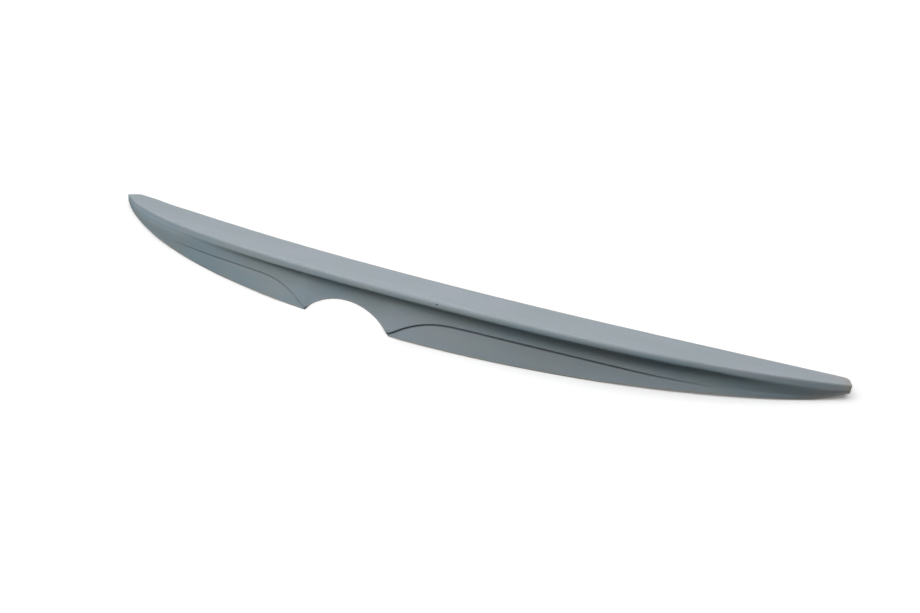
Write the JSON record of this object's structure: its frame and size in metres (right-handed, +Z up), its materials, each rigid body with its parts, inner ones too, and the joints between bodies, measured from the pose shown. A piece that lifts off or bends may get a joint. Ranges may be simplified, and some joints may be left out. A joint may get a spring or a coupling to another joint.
{
  "type": "car rear spoiler",
  "caption": "Boot lid lip spoiler: a bowed one-piece moulded skin in bare primer, with a bevelled nose, a cove below it, set-in side panels and a round notch, open underneath.",
  "frame": {"origin": "on the surface the part rests on, under the middle of its outline, with the part at rest on its lower edge and its two front corners", "axes": "+X along the part to the right as seen from behind the car, +Y towards the front of the car, +Z up"},
  "size_m": [1.2, 0.1656, 0.0623],
  "materials": {
    "primer": "matt blue-grey primer, hand sanded"
  },
  "bodies": {
    "root": {"spoiler_skin": "primer"}
  },
  "joints": []
}
